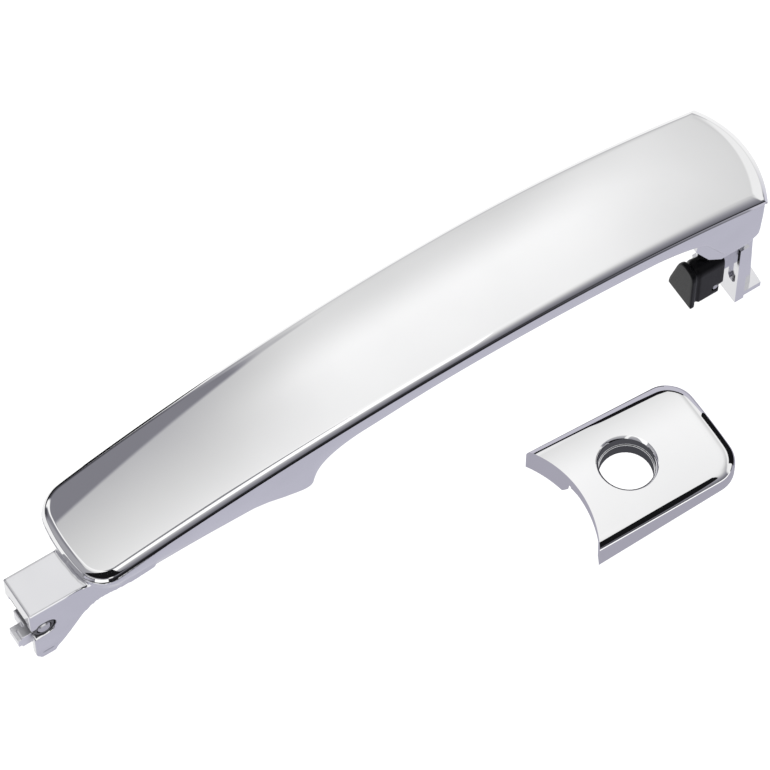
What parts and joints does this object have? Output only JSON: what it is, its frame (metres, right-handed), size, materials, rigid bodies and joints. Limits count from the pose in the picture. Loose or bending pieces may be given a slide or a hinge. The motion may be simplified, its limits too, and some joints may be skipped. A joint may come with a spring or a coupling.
{
  "type": "car door handle",
  "caption": "Outside pull handle of a car door: arched chrome grip with front pivot arm and rear latch leg, and a chrome cap with a key hole.",
  "frame": {"origin": "middle of the front foot's flat seating face, on the plane of the door skin", "axes": "+X along the grip towards its rear end, +Y up the door, +Z out of the door"},
  "size_m": [0.2666, 0.1072, 0.0815],
  "materials": {
    "chrome": "bright chrome plating on moulded plastic",
    "satin": "satin lavender-grey plating on moulded plastic",
    "diecast": "plated light die casting",
    "steel": "zinc-plated steel",
    "buffer": "hard black rubber with a soft sheen",
    "bush": "dark self-lubricating plastic",
    "felt": "black felt"
  },
  "bodies": {
    "door_pivot": {"pivot_pin": "steel", "pivot_bush": "bush"},
    "grip": {"outer_skin": "chrome", "grip_base": "satin", "arm_guide": "diecast", "skin_screw_front": "steel", "skin_screw_rear": "steel", "rattle_pad_front": "felt", "rattle_pad_rear": "felt", "latch_leg": "diecast", "leg_screw_near": "steel", "leg_screw_far": "steel", "buffer": "buffer", "buffer_pin": "steel"},
    "key_cap": {"cap_shell": "chrome", "cap_frame": "satin", "cap_screw_near": "steel", "cap_screw_far": "steel", "cap_clip_near": "steel", "cap_clip_far": "steel"}
  },
  "joints": [
    {"name": "grip_swing", "type": "hinge", "parent": "door_pivot", "child": "grip", "pos_m": [-0.05, -0.0056, -0.0068], "axis": [0, -1, 0], "range_deg": [0, 8]},
    {"name": "cap_fit", "type": "slide", "parent": "door_pivot", "child": "key_cap", "axis": [0, 0, 1], "range_m": [0, 0.03]}
  ]
}
